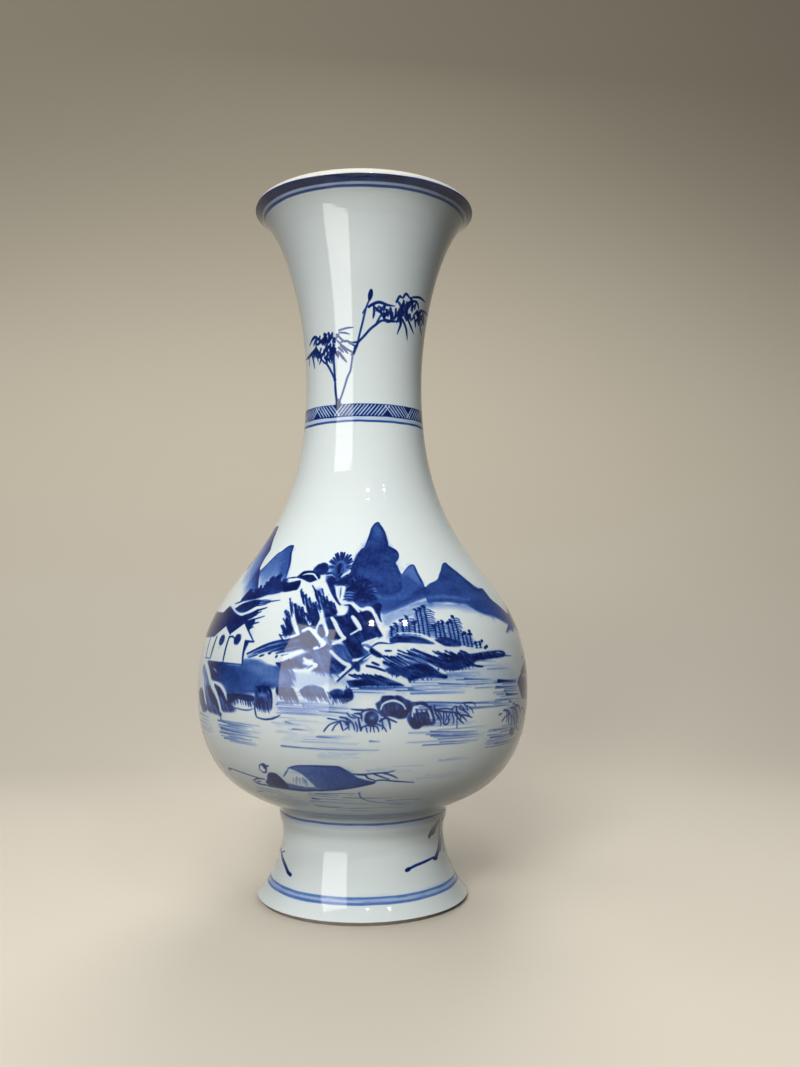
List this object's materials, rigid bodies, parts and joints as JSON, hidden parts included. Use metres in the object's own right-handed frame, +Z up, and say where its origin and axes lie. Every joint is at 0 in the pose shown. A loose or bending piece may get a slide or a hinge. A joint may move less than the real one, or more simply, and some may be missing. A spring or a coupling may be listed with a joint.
{
  "type": "vase",
  "caption": "Porcelain vase with a flared trumpet mouth, slender neck, pear-shaped body and hollow splayed foot, open at the top and standing on its foot ring.",
  "frame": {"origin": "centre of the standing ring, on the plane that the vase stands on", "axes": "+Z up along the axis the vase was thrown on; +X and +Y lie in the plane of the standing ring, and -Y is the side that faces the viewer"},
  "size_m": [0.1182, 0.1182, 0.25],
  "materials": {
    "glazed_porcelain": "gloss",
    "slip": "matte"
  },
  "bodies": {
    "root": {"trumpet_neck": "glazed_porcelain", "neck_slip_seam": "slip", "shoulder": "glazed_porcelain", "belly_slip_seam": "slip", "bowl": "glazed_porcelain", "foot_slip_seam": "slip", "foot": "glazed_porcelain"}
  },
  "joints": []
}
